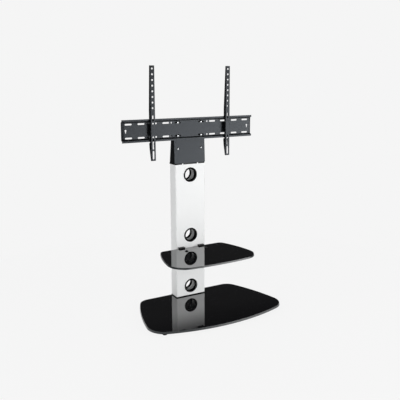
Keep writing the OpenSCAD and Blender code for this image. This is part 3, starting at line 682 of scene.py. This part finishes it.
# The pale backdrop that the glass mirrors: its heading, and the angles from its middle line and
# from the horizon up to which it is whole and at which it has faded away
BACKDROP_HEADING = 29
BACKDROP_WHOLE_SIDE, BACKDROP_GONE_SIDE = 32, 36
BACKDROP_WHOLE_TOP, BACKDROP_GONE_TOP = 11, 14
# The room's light on matte faces, and what shiny faces mirror of it beside the backdrop
STUDIO_FILL = 0.28
STUDIO_DARK = 0.02


def mirrored_ray(tree, rays):
    """Is 1 for a ray that a mirror, a shiny face or clear glass sends on."""
    return add(tree, "ShaderNodeMath", {0: rays.outputs["Is Glossy Ray"],
                                        1: rays.outputs["Is Transmission Ray"]},
               operation="MAXIMUM")


def pale_floor():
    """A pale studio floor: it holds a soft shadow, and fades into the background at its rim."""
    bpy.ops.mesh.primitive_circle_add(vertices=96, radius=FLOOR_RADIUS, fill_type="NGON")
    floor = bpy.context.object
    floor.name = "studio_floor"
    finish = bpy.data.materials.new("matte_white_paper")
    finish.use_nodes = True
    tree = finish.node_tree
    tree.nodes.clear()
    rays = add(tree, "ShaderNodeLightPath")
    seen = add(tree, "ShaderNodeMath", {0: rays.outputs["Is Camera Ray"],
                                        1: mirrored_ray(tree, rays)}, operation="MAXIMUM")
    share = add(tree, "ShaderNodeMath", {0: seen, 1: FLOOR_GLOW_SHARE}, operation="MULTIPLY")
    paper = add(tree, "ShaderNodeBsdfDiffuse", {"Color": linear("#F0F0F0")})
    glow = add(tree, "ShaderNodeEmission", {"Color": linear(PALE), "Strength": FLOOR_GLOW})
    mixed = add(tree, "ShaderNodeMixShader", {0: share, 1: paper, 2: glow})
    add(tree, "ShaderNodeOutputMaterial", {"Surface": mixed})
    floor.data.materials.append(finish)


def studio_world():
    """Pale to the camera. To glass and metal it is a studio with a pale backdrop behind the
    stand, as wide and as high as the black glass shows it, and nearly dark elsewhere."""
    world = bpy.data.worlds.new("studio")
    bpy.context.scene.world = world
    world.use_nodes = True
    tree = world.node_tree
    tree.nodes.clear()
    rays = add(tree, "ShaderNodeLightPath")
    way = add(tree, "ShaderNodeTexCoord").outputs["Generated"]
    height = add(tree, "ShaderNodeSeparateXYZ", {"Vector": way}).outputs["Z"]
    heading = math.radians(BACKDROP_HEADING)
    behind = add(tree, "ShaderNodeVectorMath",
                 {0: way, 1: (math.sin(heading), math.cos(heading), 0.0)},
                 operation="DOT_PRODUCT").outputs["Value"]
    wide = add(tree, "ShaderNodeMapRange", {
        "Value": behind, "From Min": math.cos(math.radians(BACKDROP_GONE_SIDE)),
        "From Max": math.cos(math.radians(BACKDROP_WHOLE_SIDE))})
    tall = add(tree, "ShaderNodeMapRange", {
        "Value": height, "From Min": math.sin(math.radians(BACKDROP_GONE_TOP)),
        "From Max": math.sin(math.radians(BACKDROP_WHOLE_TOP))})
    window = add(tree, "ShaderNodeMath", {0: wide, 1: tall}, operation="MULTIPLY")
    mirrored = add(tree, "ShaderNodeMath", {0: window, 1: mirrored_ray(tree, rays)},
                   operation="MULTIPLY")
    seen = add(tree, "ShaderNodeMath", {0: rays.outputs["Is Camera Ray"], 1: mirrored},
               operation="MAXIMUM")
    fill, dark, pale = (
        add(tree, "ShaderNodeBackground", {"Color": linear(colour), "Strength": strength})
        for colour, strength in (("#FFFFFF", STUDIO_FILL), ("#FFFFFF", STUDIO_DARK),
                                 (PALE, 1.0)))
    room = add(tree, "ShaderNodeMixShader", {0: rays.outputs["Is Glossy Ray"], 1: fill, 2: dark})
    shown = add(tree, "ShaderNodeMixShader", {0: seen, 1: room, 2: pale})
    add(tree, "ShaderNodeOutputWorld", {"Surface": shown})


def softbox(name, place, aim_z, width, height, level, mirrored=False):
    """A rectangular softbox that looks at the stand's axis; its level is how bright its face
    looks, 1 being white. Only the low one is mirrored: over it, the black glass shows a dark
    room from every side."""
    lamp = bpy.data.lights.new(name, "AREA")
    lamp.shape = "RECTANGLE"
    lamp.size, lamp.size_y = width, height
    lamp.energy = level * math.pi * width * height
    holder = linked(name, lamp)
    holder.visible_glossy = mirrored
    holder.location = place
    holder.rotation_mode = "QUATERNION"
    ahead = Vector((0, 0, aim_z)) - Vector(place)
    holder.rotation_quaternion = ahead.to_track_quat("-Z", "Y")


CAMERA_PLACE = (-1.2892, -2.2455, 1.1001)
CAMERA_HEADING, CAMERA_DIP, CAMERA_ROLL = 29.222, 12.13, -0.172
SENSOR_WIDTH, FOCAL_LENGTH = 36.0, 51.28


def camera():
    """The photograph's own view: place, heading, dip, roll and lens as measured from it."""
    heading, dip, roll = (math.radians(v) for v in (CAMERA_HEADING, CAMERA_DIP, CAMERA_ROLL))
    ahead = Vector((math.sin(heading) * math.cos(dip), math.cos(heading) * math.cos(dip),
                    -math.sin(dip)))
    level = Vector((math.cos(heading), -math.sin(heading), 0))
    over = level.cross(ahead)
    right = level * math.cos(roll) + over * math.sin(roll)
    up = over * math.cos(roll) - level * math.sin(roll)
    lens = bpy.data.cameras.new("camera")
    lens.sensor_width = SENSOR_WIDTH
    lens.lens = FOCAL_LENGTH
    view = linked("camera", lens)
    turned_to = Matrix((right, up, -ahead)).transposed()
    view.matrix_world = Matrix.Translation(CAMERA_PLACE) @ turned_to.to_4x4()
    bpy.context.scene.camera = view


pale_floor()
studio_world()
softbox("key_low", (2.2, -2.6, 0.5), 0.5, width=3.3, height=1.0, level=5.0, mirrored=True)
softbox("key_right", (2.2, -2.6, 0.9), 0.55, width=3.3, height=2.3, level=1.6)
softbox("fill_left", (-1.6, -2.6, 1.0), 0.45, width=2.4, height=1.7, level=2.7)
softbox("side_left", (-3.2, 0.3, 0.7), 0.55, width=2.6, height=2.0, level=2.2)
softbox("back_right", (1.2, 3.2, 1.0), 0.6, width=3.0, height=2.2, level=2.0)
camera()
bpy.context.scene.view_settings.view_transform = "Standard"
